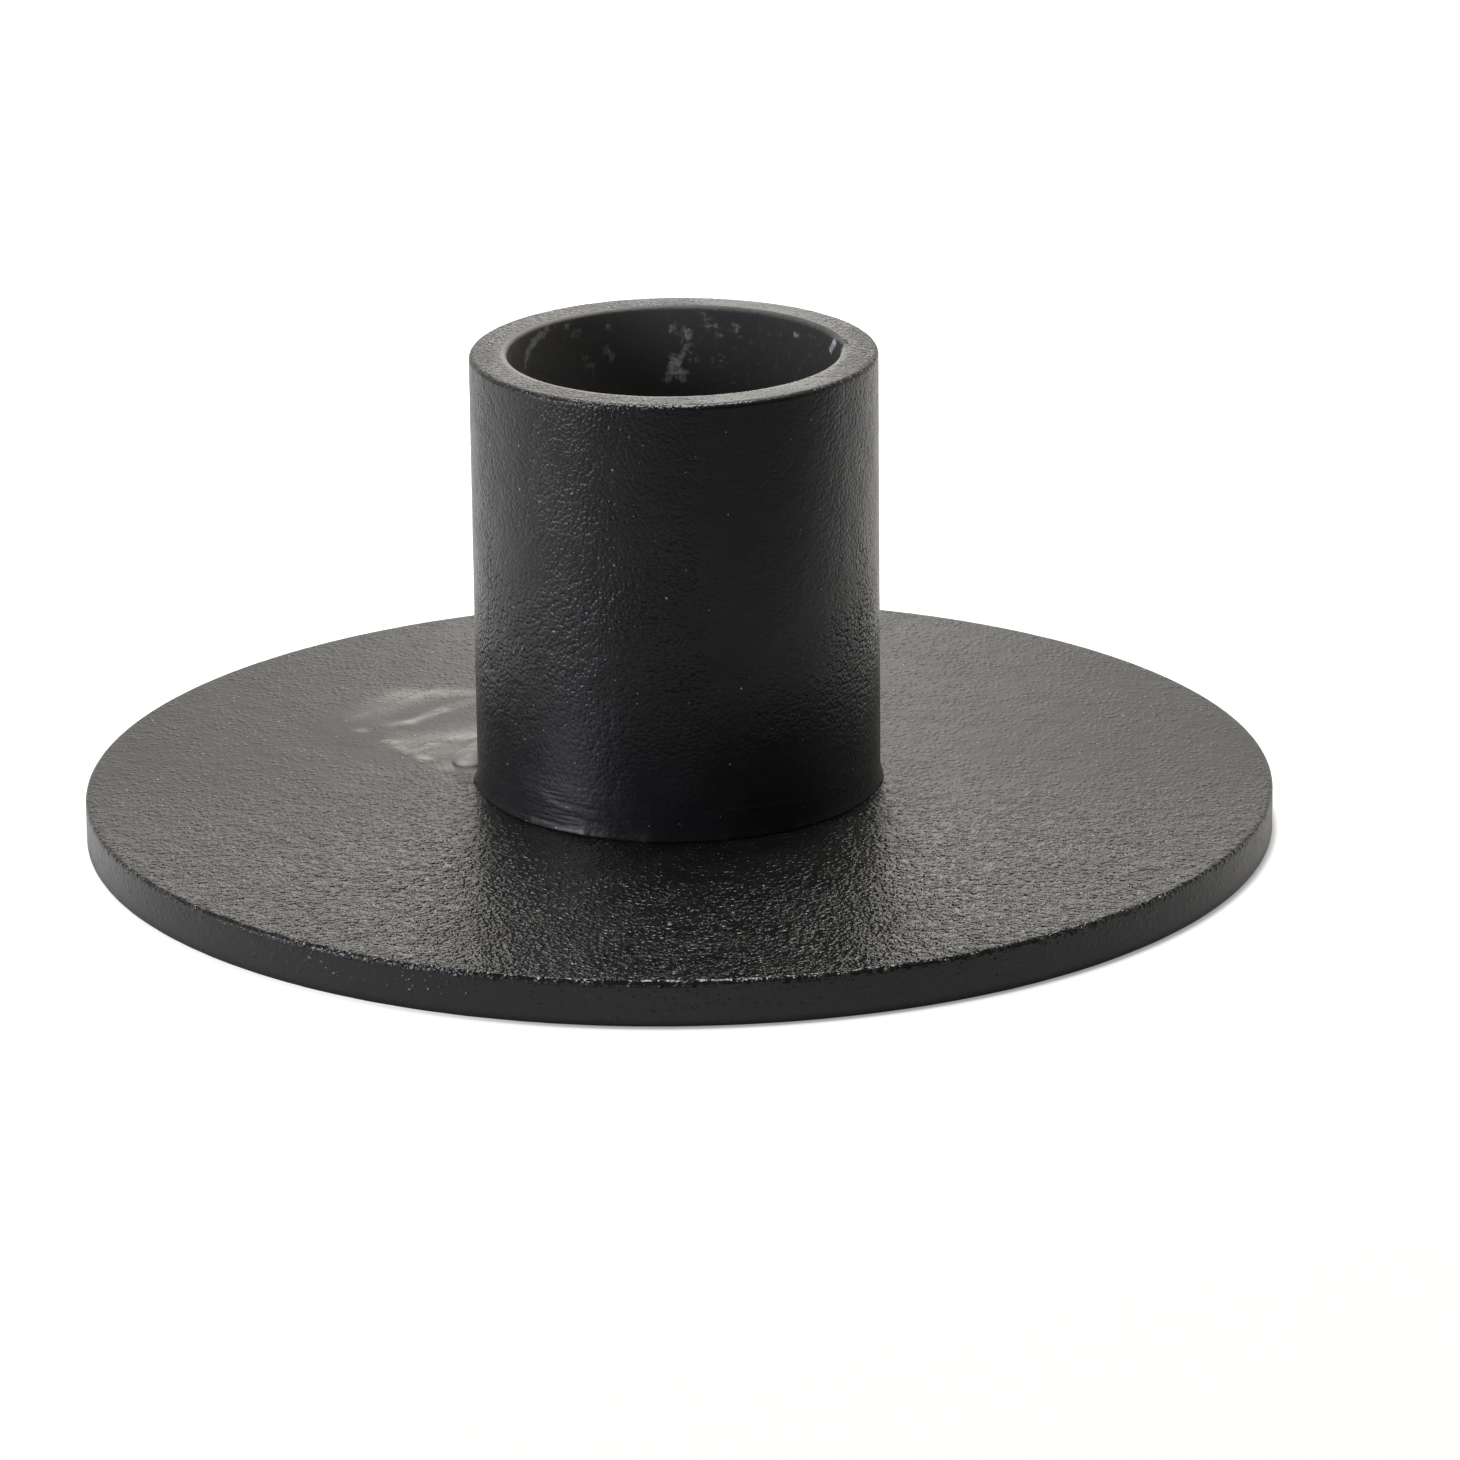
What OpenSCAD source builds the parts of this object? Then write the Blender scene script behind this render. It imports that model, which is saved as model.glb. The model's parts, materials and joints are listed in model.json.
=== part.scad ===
// Low candle holder: a round steel plate with a short piece of steel tube welded upright on its middle,
// all under one matte black coat. Every size is the coated one. The underside of the plate lies at z = 0
// and the tube stands on the Z axis.

/* [Candle] */
// Diameter of the candle that the socket takes
candle_d = 22; // [18:0.5:26]
// Play between the candle and the bore, on the diameter
candle_play = 0.8; // [0.3:0.1:2]

/* [Socket tube] */
// Thickness of the tube's wall
tube_wall = 2.65; // [2:0.05:4]
// Height of the rim above the plate
tube_h = 30.8; // [18:0.2:60]
// Radius that rounds the rim's outer edge
rim_outer_round = 0.4; // [0.1:0.05:0.8]
// Radius that rounds the rim's inner edge
rim_inner_round = 0.3; // [0.1:0.05:0.8]

/* [Base plate] */
// Diameter of the plate
plate_d = 82.5; // [60:0.5:140]
// Thickness of the plate
plate_t = 3.2; // [2:0.1:8]
// Radius that rounds the plate's upper edge
plate_top_round = 0.3; // [0.1:0.05:0.8]
// Radius that rounds the plate's lower edge
plate_low_round = 0.25; // [0.1:0.05:0.8]

/* [Seam weld] */
// Depth of the bevel at the tube's foot, which the weld fills
weld_depth = 1.3; // [0.6:0.1:1.6]
// Height of the weld up the tube
weld_h = 2.2; // [1:0.1:4]
// How far the weld stands out from the tube's wall at the plate
weld_proud = 0.25; // [0.1:0.05:0.8]

/* [Weld stop] */
// Direction of the last ripple, where the weld was ended, counted from +X
stop_angle = 165; // [0:1:359]
// Radius of the last ripple on the plate
stop_r = 1.5; // [0.8:0.1:2.5]
// Height of the last ripple
stop_h = 0.8; // [0.4:0.1:1.6]
// Number of ripples left standing
stop_ripples = 4; // [1:1:8]
// Angle from each ripple to the next
stop_step = 7; // [3:0.5:9]

/* [Weld spatter] */
// Radius of the largest drop of spatter on the plate
drop_r = 0.55; // [0.2:0.05:1]
// Height of the largest drop
drop_h = 0.22; // [0.1:0.02:0.5]

/* [Hidden] */
$fn = 128;

bore_r = (candle_d + candle_play) / 2;
tube_r = bore_r + tube_wall;
plate_r = plate_d / 2;
// Overrun of every cut past the face that it opens
overrun = 0.5;
// Outer radius of the weld where it meets the plate
weld_r = tube_r + weld_proud;
// Share of the last ripple's radius by which its middle stands off the weld
stop_stand_share = 0.6;
// Share of the last ripple's size that the first one has
stop_first_share = 0.7;
stop_dist = weld_r + stop_stand_share * stop_r;
// The spatter lies between the far side of the last ripple and the plate's rounded edge
spatter_in_r = stop_dist + stop_r;
spatter_out_r = plate_r - plate_top_round;
// One row per drop: its direction from the last ripple, its place between the spatter's two radii, and its
// size, the last two as shares
drop_shares = [
    [2, 0.06, 0.8],
    [-8, 0.08, 1],
    [-2, 0.12, 0.9],
    [-14, 0.04, 0.6],
    [-7, 0.22, 1],
    [-26, 0.25, 0.7],
    [-35, 0.35, 0.9]
];

// What a quarter round leaves to be cut off a square corner; the corner points to +X and +Y
module corner_waste(round_r) {
    difference() {
        square(round_r + overrun);
        circle(round_r);
    }
}

// Radius of the ball whose cap has this radius on the plate and this height
function ball_r(base_r, h) = (base_r * base_r + h * h) / (2 * h);

// A cap cut off a ball, its flat side down on z = 0
module cap(base_r, h) {
    ball = ball_r(base_r, h);
    rotate_extrude()
        intersection() {
            translate([0, h - ball]) circle(ball);
            square([base_r, h]);
        }
}

module base_plate() {
    color([0.16, 0.16, 0.15])
        rotate_extrude()
            difference() {
                square([plate_r, plate_t]);
                translate([plate_r - plate_top_round, plate_t - plate_top_round])
                    corner_waste(plate_top_round);
                translate([plate_r - plate_low_round, plate_low_round])
                    mirror([0, 1])
                        corner_waste(plate_low_round);
            }
}

module socket_tube() {
    color([0.10, 0.10, 0.11])
        translate([0, 0, plate_t])
            rotate_extrude()
                difference() {
                    translate([bore_r, 0]) square([tube_wall, tube_h]);
                    translate([tube_r - rim_outer_round, tube_h - rim_outer_round])
                        corner_waste(rim_outer_round);
                    translate([bore_r + rim_inner_round, tube_h - rim_inner_round])
                        mirror([1, 0])
                            corner_waste(rim_inner_round);
                    polygon([
                        [tube_r - weld_depth, -overrun],
                        [tube_r - weld_depth, 0],
                        [tube_r, weld_h],
                        [tube_r + overrun, weld_h],
                        [tube_r + overrun, -overrun]
                    ]);
                }
}

// The bead fills the bevel from the plate to the top of the bevel and swells a little past the tube's wall
module seam_weld() {
    color([0.12, 0.12, 0.12])
        translate([0, 0, plate_t])
            rotate_extrude()
                polygon([
                    [tube_r - weld_depth, 0],
                    [weld_r, 0],
                    [weld_r, weld_proud],
                    [tube_r, weld_h]
                ]);
}

// Everything that the finished seam and the tube above it take up, as far up as the ripples can reach
module foot_space() {
    rotate_extrude()
        polygon([
            [0, -overrun],
            [weld_r, -overrun],
            [weld_r, weld_proud],
            [tube_r, weld_h],
            [tube_r, weld_h + stop_h],
            [0, weld_h + stop_h]
        ]);
}

// The last ripples of the weld, left standing against the seam; each is a little larger than the one before
module weld_stop() {
    color([0.34, 0.34, 0.33])
        translate([0, 0, plate_t])
            difference() {
                for (i = [0 : stop_ripples - 1]) {
                    size = 1 - (1 - stop_first_share) * i / max(1, stop_ripples - 1);
                    ball = size * ball_r(stop_r, stop_h);
                    rotate([0, 0, stop_angle - i * stop_step])
                        translate([weld_r + stop_stand_share * size * stop_r, 0, size * stop_h - ball])
                            sphere(ball);
                }
                below = 2 * ball_r(stop_r, stop_h);
                translate([0, 0, -below])
                    cylinder(r = spatter_in_r + below, h = below);
                foot_space();
            }
}

module weld_spatter() {
    color([0.30, 0.30, 0.29])
        translate([0, 0, plate_t])
            for (drop = drop_shares) {
                size = drop[2];
                inner = spatter_in_r + drop_r;
                outer = spatter_out_r - drop_r;
                rotate([0, 0, stop_angle + drop[0]])
                    translate([inner + drop[1] * (outer - inner), 0, 0])
                        cap(size * drop_r, size * drop_h);
            }
}

base_plate();
socket_tube();
seam_weld();
weld_stop();
weld_spatter();
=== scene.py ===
"""Looks of a low black candle holder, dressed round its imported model.

The holder is a round steel plate with a short tube welded upright on its middle, under one matte, sandy
black coat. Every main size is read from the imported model. Each piece is built again as a fine mesh with its
true roundings and the small marks of the real one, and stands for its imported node.
"""

from __future__ import annotations

import functools
import json
import logging
import math
from collections.abc import Sequence
from dataclasses import dataclass, field
from enum import Enum
from typing import Any

import bmesh
import bpy
import numpy as np
from mathutils import Matrix, Vector

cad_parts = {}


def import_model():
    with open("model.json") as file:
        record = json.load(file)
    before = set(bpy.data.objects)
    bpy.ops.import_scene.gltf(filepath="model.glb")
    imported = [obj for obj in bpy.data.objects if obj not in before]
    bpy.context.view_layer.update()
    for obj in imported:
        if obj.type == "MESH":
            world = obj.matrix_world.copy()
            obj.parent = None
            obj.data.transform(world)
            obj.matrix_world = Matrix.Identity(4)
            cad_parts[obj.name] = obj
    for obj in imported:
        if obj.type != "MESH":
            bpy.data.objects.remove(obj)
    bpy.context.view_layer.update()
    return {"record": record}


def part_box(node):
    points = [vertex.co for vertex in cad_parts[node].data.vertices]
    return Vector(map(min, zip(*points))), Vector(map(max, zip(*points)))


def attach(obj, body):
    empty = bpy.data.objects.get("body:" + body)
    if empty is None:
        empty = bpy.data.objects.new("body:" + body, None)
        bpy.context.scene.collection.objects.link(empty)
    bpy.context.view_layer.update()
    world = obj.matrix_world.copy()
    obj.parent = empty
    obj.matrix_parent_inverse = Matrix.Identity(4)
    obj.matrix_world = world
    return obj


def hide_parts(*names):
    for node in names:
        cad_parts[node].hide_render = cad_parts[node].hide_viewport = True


log = logging.getLogger("candle_holder")

Node = bpy.types.Node
Socket = bpy.types.NodeSocket
Value = float | str | Sequence[float] | Socket
Inputs = dict[str | int, Value]
Colour = tuple[float, float, float]

MM = 0.001
BODY = "root"
FULL_TURN = 2 * math.pi
WHITE: Colour = (1.0, 1.0, 1.0)
# Between these lie most values of a noise pattern
NOISE_RANGE = (0.3, 0.7)


class Slot(Enum):
    """The record's material slots."""

    PLATE = "plate_coat"
    TUBE = "tube_coat"
    WELD = "weld_coat"
    GLOSS = "weld_gloss"


class Way(Enum):
    """A direction on a piece."""

    ACROSS = "X"
    BACK = "Y"
    UP = "Z"
    OUT = "out from the Z axis"


class Mixed(Enum):
    """What a Mix node mixes: its data type, and the places of its first input and of its result."""

    NUMBER = ("FLOAT", 2, 0)
    VECTOR = ("VECTOR", 4, 1)
    COLOUR = ("RGBA", 6, 2)


class Graph:
    """A node tree, with short calls for its nodes and links."""

    def __init__(self, tree: bpy.types.NodeTree) -> None:
        """Start from an empty tree.

        Args:
            tree: The node tree to fill.
        """
        self.tree = tree
        tree.nodes.clear()

    def node(self, kind: str, inputs: Inputs | None = None, **settings: Any) -> Node:
        """Add a node.

        Args:
            kind: The node's type, such as ShaderNodeMath.
            inputs: What its inputs get, by their names or places.
            settings: Properties to set on it.

        Returns:
            The new node.
        """
        made = self.tree.nodes.new(kind)
        for name, value in settings.items():
            setattr(made, name, value)
        for place, value in (inputs or {}).items():
            self.feed(made.inputs[place], value)
        return made

    def feed(self, target: Socket, value: Value) -> None:
        """Link a socket, or set its own value.

        Args:
            target: The input to feed.
            value: A socket to link from, or a plain value. A colour comes without its alpha.
        """
        if isinstance(value, Socket):
            self.tree.links.new(value, target)
        elif target.type == "RGBA":
            target.default_value = (*value, 1.0)
        else:
            target.default_value = value

    def math(self, operation: str, *values: Value, clamp: bool = False) -> Socket:
        """Combine numbers.

        Args:
            operation: The Math node's operation.
            values: Its inputs, in order.
            clamp: Whether the result is held between 0 and 1.

        Returns:
            The result's socket.
        """
        inputs = dict(enumerate(values))
        return self.node("ShaderNodeMath", inputs, operation=operation, use_clamp=clamp).outputs[0]

    def times(self, *values: Value) -> Socket:
        """Multiply numbers."""
        return functools.reduce(lambda product, value: self.math("MULTIPLY", product, value), values)

    def most(self, *values: Value) -> Socket:
        """Return the largest of several numbers."""
        return functools.reduce(lambda largest, value: self.math("MAXIMUM", largest, value), values)

    def between(self, share: Value, low: float, high: float) -> Socket:
        """Return the number at a share of the way from one number to another."""
        return self.math("MULTIPLY_ADD", share, high - low, low)

    def vector(self, operation: str, *values: Value) -> Socket:
        """Combine vectors with a Vector Math node's operation."""
        made = self.node("ShaderNodeVectorMath", dict(enumerate(values)), operation=operation)
        return made.outputs["Vector"]

    def scaled(self, vector: Value, factor: Value) -> Socket:
        """Return a vector times a number."""
        return self.node("ShaderNodeVectorMath", {0: vector, "Scale": factor}, operation="SCALE").outputs[0]

    def part(self, where: Socket, way: Way) -> Socket:
        """Return a vector's component along one of the axes."""
        return self.node("ShaderNodeSeparateXYZ", {0: where}).outputs[way.value]

    def radius(self, where: Socket) -> Socket:
        """Return the distance of coordinates from the Z axis."""
        flat = self.vector("MULTIPLY", where, (1.0, 1.0, 0.0))
        return self.node("ShaderNodeVectorMath", {0: flat}, operation="LENGTH").outputs["Value"]

    def spread(
        self, value: Value, low: float, high: float, to_low: float = 0.0, to_high: float = 1.0
    ) -> Socket:
        """Map a number smoothly from one range to another.

        Args:
            value: The number to map.
            low: Where the first range starts.
            high: Where it ends.
            to_low: The result at low.
            to_high: The result at high.

        Returns:
            The mapped number's socket.
        """
        limits = {"Value": value, "From Min": low, "From Max": high, "To Min": to_low, "To Max": to_high}
        return self.node("ShaderNodeMapRange", limits, interpolation_type="SMOOTHSTEP").outputs["Result"]

    def mix(self, share: Value, first: Value, second: Value, kind: Mixed = Mixed.COLOUR) -> Socket:
        """Mix two values.

        Args:
            share: The second value's share.
            first: The value at 0.
            second: The value at 1.
            kind: What the two are.

        Returns:
            The mixed value's socket.
        """
        data_type, place, result = kind.value
        inputs = {0: share, place: first, place + 1: second}
        return self.node("ShaderNodeMix", inputs, data_type=data_type).outputs[result]

    def noise(
        self, where: Socket, size: float, detail: float = 0.0, stretch: Sequence[float] | None = None
    ) -> Socket:
        """Add a noise pattern.

        Args:
            where: The coordinates to read.
            size: The size of its lumps, in metres.
            detail: The number of finer layers.
            stretch: How much longer the lumps are along X, Y and Z.

        Returns:
            The pattern's value, around 0.5.
        """
        if stretch is not None:
            where = self.vector("DIVIDE", where, stretch)
        inputs = {"Vector": where, "Scale": 1 / size, "Detail": detail}
        return self.node("ShaderNodeTexNoise", inputs, noise_dimensions="3D").outputs[0]

    def bent(self, where: Socket, size: float, bend: tuple[float, float]) -> Socket:
        """Bend coordinates, so that the cells on them get uneven outlines.

        Args:
            where: The coordinates.
            size: The cells' size.
            bend: The size and the reach of the bends, as shares of it.

        Returns:
            The bent coordinates.
        """
        length, reach = (share * size for share in bend)
        inputs = {"Vector": where, "Scale": 1 / length, "Detail": 0.0}
        bends = self.node("ShaderNodeTexNoise", inputs, noise_dimensions="3D")
        return self.vector("ADD", where, self.scaled(bends.outputs["Color"], reach))

    def cells(self, where: Socket, size: float) -> tuple[Socket, Socket, Socket]:
        """Scatter points, each in a cell of its own.

        Args:
            where: The coordinates to read.
            size: The distance from point to point.

        Returns:
            The distance from the nearest point as a share of the size, and two chances that each cell has.
        """
        made = self.node("ShaderNodeTexVoronoi", {"Vector": where, "Scale": 1 / size}, feature="F1")
        chances = self.node("ShaderNodeSeparateXYZ", {0: made.outputs["Color"]}).outputs
        return made.outputs["Distance"], chances[0], chances[1]


class Paint(Graph):
    """A material's node tree, on the coordinates of the piece that wears it."""

    def __init__(self, name: str) -> None:
        """Make the material.

        Args:
            name: The material's name.
        """
        self.material = bpy.data.materials.new(name)
        self.material.use_nodes = True
        super().__init__(self.material.node_tree)
        self.where = self.node("ShaderNodeTexCoord").outputs["Object"]

    def ramp(self, way: Way, low: float, high: float, to_low: float = 0.0, to_high: float = 1.0) -> Socket:
        """Map the place on the piece smoothly to a number.

        Args:
            way: The direction in which the number changes.
            low: Where the change starts, in metres.
            high: Where it ends.
            to_low: The number before it.
            to_high: The number after it.

        Returns:
            The number's socket.
        """
        place = self.radius(self.where) if way is Way.OUT else self.part(self.where, way)
        return self.spread(place, low, high, to_low, to_high)

    def mark(self, name: str) -> Socket:
        """Return a number that the mesh carries."""
        return self.node("ShaderNodeAttribute", attribute_name=name).outputs["Fac"]

    def cover(self, surface: Socket) -> bpy.types.Material:
        """End the tree with a surface and return the material."""
        self.node("ShaderNodeOutputMaterial", {"Surface": surface})
        return self.material


class Shaping(Graph):
    """A geometry node tree with named inputs, which ends in realised instances and a set material."""

    def __init__(self, name: str, sizes: dict[str, float], seed: int) -> None:
        """Start the tree and its inputs.

        Args:
            name: The tree's name.
            sizes: The names of its float inputs, with their usual values.
            seed: The usual value of its seed.
        """
        super().__init__(bpy.data.node_groups.new(name, "GeometryNodeTree"))
        sides = self.tree.interface
        sides.new_socket("Geometry", in_out="OUTPUT", socket_type="NodeSocketGeometry")
        kinds = [("Geometry", None, "NodeSocketGeometry")]
        kinds += [(label, size, "NodeSocketFloat") for label, size in sizes.items()]
        kinds += [("Seed", seed, "NodeSocketInt"), ("Material", None, "NodeSocketMaterial")]
        self.inputs: dict[str, bpy.types.NodeTreeInterfaceSocket] = {}
        for label, value, kind in kinds:
            self.inputs[label] = sides.new_socket(label, in_out="INPUT", socket_type=kind)
            if value is not None:
                self.inputs[label].default_value = value
        self.given = self.node("NodeGroupInput").outputs

    def close(self, shape: Socket) -> None:
        """End the tree.

        Args:
            shape: The geometry to hand over.
        """
        whole = self.node("GeometryNodeRealizeInstances", {0: shape}).outputs[0]
        inputs = {"Geometry": whole, "Material": self.given["Material"]}
        self.node("NodeGroupOutput", {0: self.node("GeometryNodeSetMaterial", inputs).outputs[0]})

    def shape(self, piece: bpy.types.Object, values: dict[str, Any]) -> None:
        """Run the tree on a piece and keep the result as its plain mesh.

        Args:
            piece: The piece to shape.
            values: The inputs to set, by name.
        """
        step = piece.modifiers.new(self.tree.name, "NODES")
        step.node_group = self.tree
        for label, value in values.items():
            step[self.inputs[label].identifier] = value
        keep_result(piece)
        piece.data.shade_smooth()


class CoatRelief(Shaping):
    """Presses the coat's slow waves and its grain into a piece, inwards only.

    They go in along the piece's normals, except on a wall, which is all that lies below Wall Top and further
    out than Wall Radius: there they go straight towards the Z axis, so that two walls that meet stay flush.
    """

    def __init__(self) -> None:
        """Build the tree."""
        sizes = {
            "Wave Size": 1.6 * MM,
            "Wave Height": 0.03 * MM,
            "Grain Size": 0.4 * MM,
            "Grain Height": 0.04 * MM,
            "Wall Radius": 1.0,
            "Wall Top": 0.0,
        }
        super().__init__("Coat relief", sizes, seed=3)
        place = self.node("GeometryNodeInputPosition").outputs[0]
        depth = 0.0
        for kind in ("Wave", "Grain"):
            scale = self.math("DIVIDE", 1.0, self.given[f"{kind} Size"])
            inputs = {"Vector": place, "W": self.given["Seed"], "Scale": scale, "Detail": 1.0}
            pattern = self.node("ShaderNodeTexNoise", inputs, noise_dimensions="4D").outputs[0]
            depth = self.math("MULTIPLY_ADD", pattern, self.given[f"{kind} Height"], depth)
        far = self.math("GREATER_THAN", self.radius(place), self.given["Wall Radius"])
        low = self.math("LESS_THAN", self.part(place, Way.UP), self.given["Wall Top"])
        normal = self.node("GeometryNodeInputNormal").outputs[0]
        level = self.vector("NORMALIZE", self.vector("MULTIPLY", place, (1.0, 1.0, 0.0)))
        outwards = self.mix(self.times(far, low), normal, level, Mixed.VECTOR)
        push = self.scaled(outwards, self.times(depth, -1.0))
        inputs = {"Geometry": self.given["Geometry"], "Offset": push}
        self.close(self.node("GeometryNodeSetPosition", inputs).outputs[0])


@dataclass(frozen=True)
class Coat:
    """A black powder coat: a dark ground with domed grains, finer sand, a slow peel and pale specks."""

    name: str
    ground: Colour = (0.014, 0.014, 0.014)
    pale: Colour = (0.020, 0.020, 0.020)
    mottle_size: float = 2.5 * MM
    mottle_limits: tuple[float, float] = (0.35, 0.7)
    # The specks' colour: partly dust, partly painted glints
    speck: Colour = (0.45, 0.44, 0.42)
    speck_share: float = 0.25
    speck_cell: float = 0.7 * MM
    roughness: float = 0.27
    roughness_swing: float = 0.06
    swing_size: float = 3.5 * MM
    ior: float = 1.55
    dome_size: float = 0.27 * MM
    dome_height: float = 0.05 * MM
    # How the domes and the grains are bent: the bends' size and reach, as shares of a grain's size
    dome_bend: tuple[float, float] = (0.8, 0.45)
    grain_bend: tuple[float, float] = (0.5, 0.35)
    # The smallest and the largest radius of a grain and of a speck, as shares of the distance between two
    grain_radii: tuple[float, float] = (0.45, 0.70)
    speck_radii: tuple[float, float] = (0.06, 0.11)
    # The height of the lowest grain, as a share of the tallest one's
    lowest_grain: float = 0.25
    # The grains' strength where they are weakest and where they are strongest
    strengths: tuple[float, float] = (0.7, 1.15)
    strength_size: float = 5 * MM
    sand_size: float = 0.11 * MM
    sand_height: float = 0.016 * MM
    sand_detail: float = 1.0
    sand_stretch: tuple[float, float, float] | None = None
    peel_size: float = 1.4 * MM
    peel_height: float = 0.06 * MM
    grain_stretch: tuple[float, float, float] = (1.0, 1.3, 1.0)

    def material(self) -> bpy.types.Material:
        """Build the coat's material.

        Returns:
            The finished material.
        """
        paint = Paint(self.name)
        bump = paint.node("ShaderNodeBump", {"Strength": 1.0, "Distance": 1.0, "Height": self.relief(paint)})
        inputs = {
            "Base Color": self.colour(paint),
            "Roughness": self.gloss(paint),
            "IOR": self.ior,
            "Normal": bump.outputs["Normal"],
        }
        return paint.cover(paint.node("ShaderNodeBsdfPrincipled", inputs).outputs["BSDF"])

    def relief(self, paint: Paint) -> Socket:
        """Sum the domed grains, the sand and the peel.

        Args:
            paint: The material's tree.

        Returns:
            The height in metres.
        """
        bent = paint.bent(paint.where, self.dome_size, self.dome_bend)
        dome = paint.math("POWER", paint.cells(bent, self.dome_size)[0], 2.0)
        return self.sanded(paint, paint.times(dome, self.strength(paint), -self.dome_height))

    def sanded(self, paint: Paint, height: Socket) -> Socket:
        """Lay the finer sand and the slow peel on the grains.

        Args:
            paint: The material's tree.
            height: The grains' height.

        Returns:
            The whole height.
        """
        sand = paint.noise(paint.where, self.sand_size, self.sand_detail, self.sand_stretch)
        peel = paint.noise(paint.where, self.peel_size, 1.0)
        height = paint.math("MULTIPLY_ADD", sand, self.sand_height, height)
        return paint.math("MULTIPLY_ADD", peel, self.peel_height, height)

    def strength(self, paint: Paint) -> Socket:
        """Return the grains' strength, which changes slowly over the piece."""
        return paint.spread(paint.noise(paint.where, self.strength_size, 1.0), *NOISE_RANGE, *self.strengths)

    def grains(self, paint: Paint, size: float, height: float) -> Socket:
        """Strew round grains of mixed sizes and heights, with flat ground between them.

        Args:
            paint: The material's tree.
            size: The distance from grain to grain.
            height: The height of the tallest.

        Returns:
            The height in metres.
        """
        where = paint.vector("DIVIDE", paint.where, self.grain_stretch)
        distance, wide, tall = paint.cells(paint.bent(where, size, self.grain_bend), size)
        away = paint.math("DIVIDE", distance, paint.between(wide, *self.grain_radii))
        cap = paint.spread(away, 0.0, 1.0, 1.0, 0.0)
        return paint.times(cap, paint.between(tall, self.lowest_grain, 1.0), height)

    def colour(self, paint: Paint) -> Socket:
        """Mottle the ground with a slightly paler black and strew the specks on it."""
        mottle = paint.spread(paint.noise(paint.where, self.mottle_size, 3.0), *self.mottle_limits)
        return paint.mix(self.specks(paint), paint.mix(mottle, self.ground, self.pale), self.speck)

    def specks(self, paint: Paint) -> Socket:
        """Pick a few of many scattered points and give each a tiny round spot.

        Args:
            paint: The material's tree.

        Returns:
            The specks' mask.
        """
        # Each spot is partly dust and partly a painted glint
        distance, lot, wide = paint.cells(paint.where, self.speck_cell)
        chosen = paint.math("LESS_THAN", lot, self.speck_share)
        spot = paint.math("LESS_THAN", distance, paint.between(wide, *self.speck_radii))
        return paint.times(chosen, spot)

    def gloss(self, paint: Paint) -> Socket:
        """Return the roughness, which swings a little over a few millimetres."""
        low, high = (self.roughness + side * self.roughness_swing / 2 for side in (-1, 1))
        return paint.spread(paint.noise(paint.where, self.swing_size, 2.0), *NOISE_RANGE, low, high)


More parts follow.
